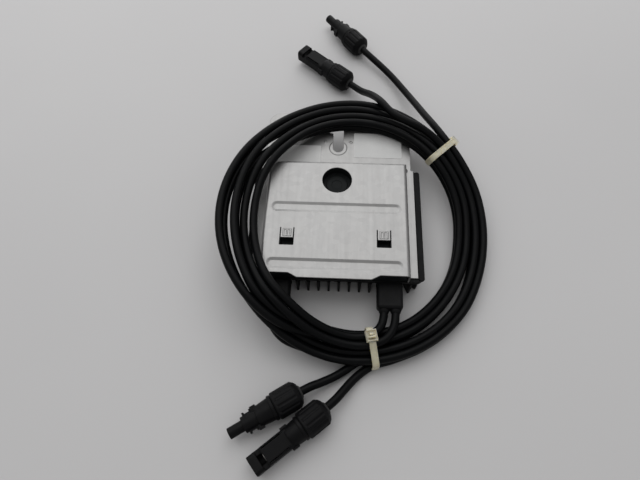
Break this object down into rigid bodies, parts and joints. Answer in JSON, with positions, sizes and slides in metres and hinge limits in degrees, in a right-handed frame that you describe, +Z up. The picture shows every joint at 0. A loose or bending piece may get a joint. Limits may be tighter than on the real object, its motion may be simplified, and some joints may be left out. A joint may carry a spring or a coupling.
{
  "type": "solar power optimizer",
  "caption": "Solar power optimizer: black ribbed case under a folded metal bracket with a slotted tab, coiled cables held by ties, plug and socket connectors.",
  "frame": {"origin": "centre of the base, under the middle of the glands, case and tab; the cables aren't counted", "axes": "+X to the right, +Y from the glands towards the mounting tab, +Z up out of the panel"},
  "size_m": [0.2049, 0.4114, 0.046],
  "materials": {
    "board_laminate": "satin",
    "cable_jacket": "satin",
    "capacitor_case": "moulded",
    "case_plastic": "matte",
    "chip_resin": "matte",
    "collet_plastic": "satin",
    "connector_plastic": "satin",
    "contact_metal": "tinned copper",
    "copper_wire": "enamelled copper",
    "deck_plastic": "matte",
    "ferrite": "matte ceramic",
    "galvanised_sheet": "satin galvanised",
    "gland_plastic": "satin",
    "label_film": "satin film",
    "nut_plastic": "satin",
    "pad_rubber": "soft",
    "post_brass": "tinned",
    "potting_compound": "soft",
    "screw_steel": "zinc plated",
    "seal_rubber": "soft",
    "tie_nylon": "translucent"
  },
  "bodies": {
    "root": {"board_screws": "screw_steel", "bracket": "galvanised_sheet", "cable_coil": "cable_jacket", "case": "case_plastic", "circuit_board": "board_laminate", "controller_chip": "chip_resin", "deck": "deck_plastic", "front_tie": "tie_nylon", "input_barrel_collet": "collet_plastic", "input_barrel_contact": "contact_metal", "input_barrel_housing": "connector_plastic", "input_barrel_nut": "nut_plastic", "input_barrel_seal": "seal_rubber", "input_barrel_tail": "cable_jacket", "input_cable_ends": "cable_jacket", "input_capacitor": "capacitor_case", "input_gland": "gland_plastic", "input_grommets": "seal_rubber", "input_inductor_core": "ferrite", "input_inductor_winding": "copper_wire", "input_lead_1": "cable_jacket", "input_lead_2": "cable_jacket", "input_power_switch": "chip_resin", "input_socket_collet": "collet_plastic", "input_socket_contact": "contact_metal", "input_socket_housing": "connector_plastic", "input_socket_nut": "nut_plastic", "input_socket_seal": "seal_rubber", "input_socket_tail": "cable_jacket", "left_label": "label_film", "output_barrel_collet": "collet_plastic", "output_barrel_contact": "contact_metal", "output_barrel_housing": "connector_plastic", "output_barrel_nut": "nut_plastic", "output_barrel_seal": "seal_rubber", "output_barrel_tail": "cable_jacket", "output_cable_ends": "cable_jacket", "output_capacitor": "capacitor_case", "output_gland": "gland_plastic", "output_grommets": "seal_rubber", "output_inductor_core": "ferrite", "output_inductor_winding": "copper_wire", "output_lead_1": "cable_jacket", "output_lead_2": "cable_jacket", "output_power_switch": "chip_resin", "output_socket_collet": "collet_plastic", "output_socket_contact": "contact_metal", "output_socket_housing": "connector_plastic", "output_socket_nut": "nut_plastic", "output_socket_seal": "seal_rubber", "output_socket_tail": "cable_jacket", "potting": "potting_compound", "rear_tie": "tie_nylon", "right_label": "label_film", "terminal_posts": "post_brass", "thermal_pad": "pad_rubber"}
  },
  "joints": []
}
